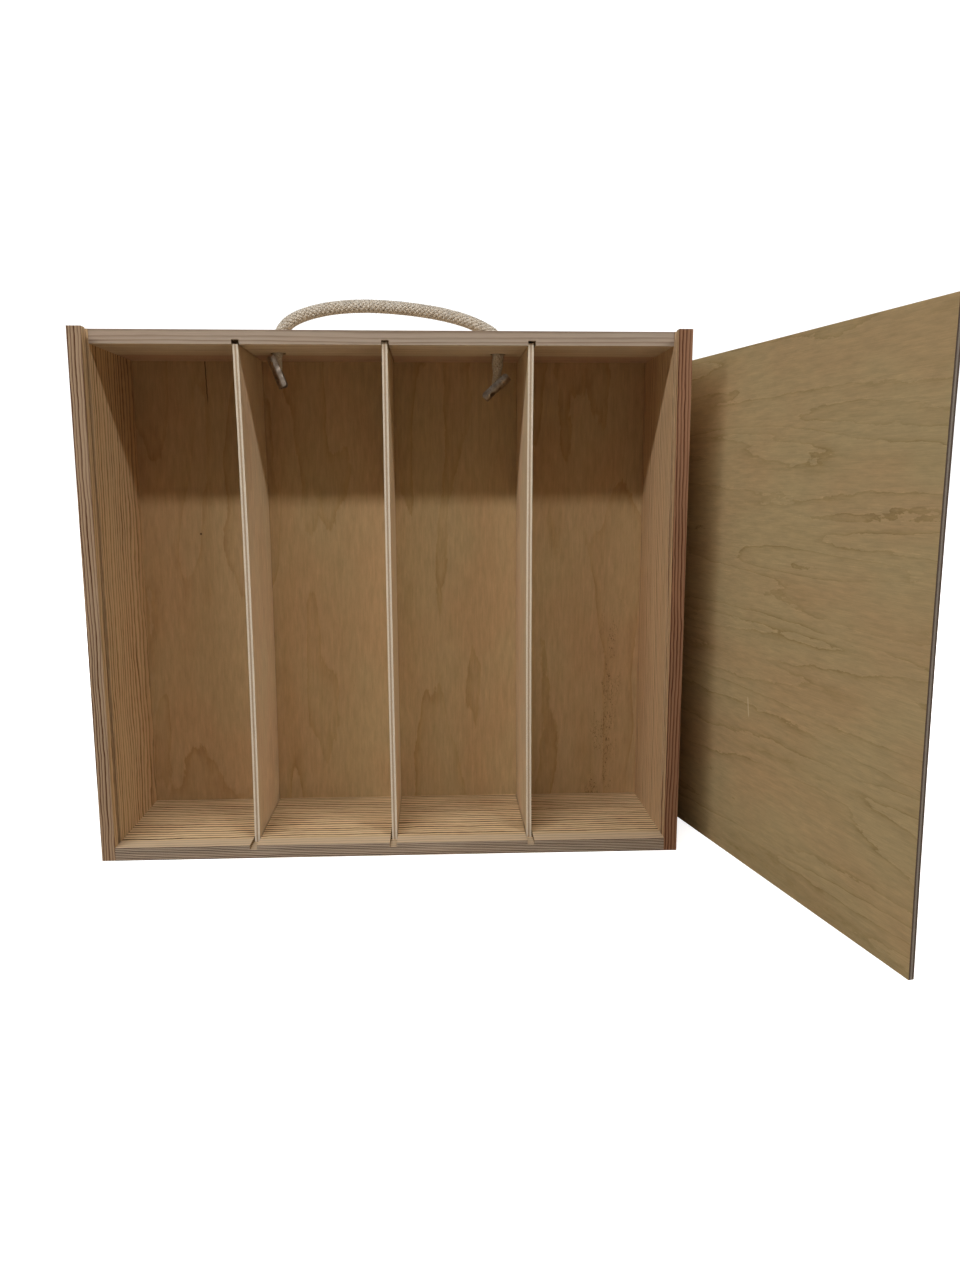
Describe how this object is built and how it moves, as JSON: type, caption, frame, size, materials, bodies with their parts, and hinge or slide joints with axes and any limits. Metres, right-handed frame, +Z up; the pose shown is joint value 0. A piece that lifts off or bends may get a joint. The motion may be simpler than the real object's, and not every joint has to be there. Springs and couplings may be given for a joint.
{
  "type": "shipping crate",
  "caption": "Upright pine crate for bottles, with a sliding plywood lid standing beside it, loose plywood dividers and a cotton rope handle held by small steel toggles.",
  "frame": {"origin": "middle of the crate's underside, on the floor", "axes": "+X towards the crate's right side, +Y from the open front to the back panel, +Z up"},
  "size_m": [0.4721, 0.3753, 0.3766],
  "materials": {
    "pine": "matt",
    "plywood_back": "matt",
    "plywood_divider": "matt",
    "plywood_lid": "matt",
    "cotton": "matt",
    "toggle_steel": "satin",
    "brad_steel": "satin"
  },
  "bodies": {
    "carcass": {"left_side_board": "pine", "right_side_board": "pine", "top_board": "pine", "bottom_board": "pine", "back_panel": "plywood_back", "left_top_brads": "brad_steel", "left_bottom_brads": "brad_steel", "right_top_brads": "brad_steel", "right_bottom_brads": "brad_steel", "back_top_brads": "brad_steel", "back_bottom_brads": "brad_steel", "back_left_brads": "brad_steel", "back_right_brads": "brad_steel"},
    "lid_body": {"lid": "plywood_lid"},
    "divider_left_body": {"divider_left": "plywood_divider"},
    "divider_centre_body": {"divider_centre": "plywood_divider"},
    "divider_right_body": {"divider_right": "plywood_divider"},
    "handle": {"rope_handle": "cotton"},
    "toggle_left_body": {"toggle_left": "toggle_steel"},
    "toggle_right_body": {"toggle_right": "toggle_steel"}
  },
  "joints": [
    {"name": "lid_lift", "type": "slide", "parent": "carcass", "child": "lid_body", "axis": [0, 0, 1], "range_m": [0, 0.36]},
    {"name": "divider_left_slide", "type": "slide", "parent": "carcass", "child": "divider_left_body", "axis": [0, -1, 0], "range_m": [0, 0.09]},
    {"name": "divider_centre_slide", "type": "slide", "parent": "carcass", "child": "divider_centre_body", "axis": [0, -1, 0], "range_m": [0, 0.09]},
    {"name": "divider_right_slide", "type": "slide", "parent": "carcass", "child": "divider_right_body", "axis": [0, -1, 0], "range_m": [0, 0.09]},
    {"name": "handle_lift", "type": "slide", "parent": "carcass", "child": "handle", "axis": [0, 0, 1], "range_m": [0, 0.007]},
    {"name": "toggle_left_swing", "type": "hinge", "parent": "handle", "child": "toggle_left_body", "pos_m": [-0.076, 0.005, 0.3288], "axis": [0, -1, 0], "range_deg": [0, 69]},
    {"name": "toggle_right_swing", "type": "hinge", "parent": "handle", "child": "toggle_right_body", "pos_m": [0.0739, 0.005, 0.3194], "axis": [0, 1, 0], "range_deg": [0, 42]}
  ],
  "couplings": [
    {"joint": "toggle_left_swing", "follows": "handle_lift", "rad_per_m": 172},
    {"joint": "toggle_right_swing", "follows": "handle_lift", "rad_per_m": 104.7}
  ]
}
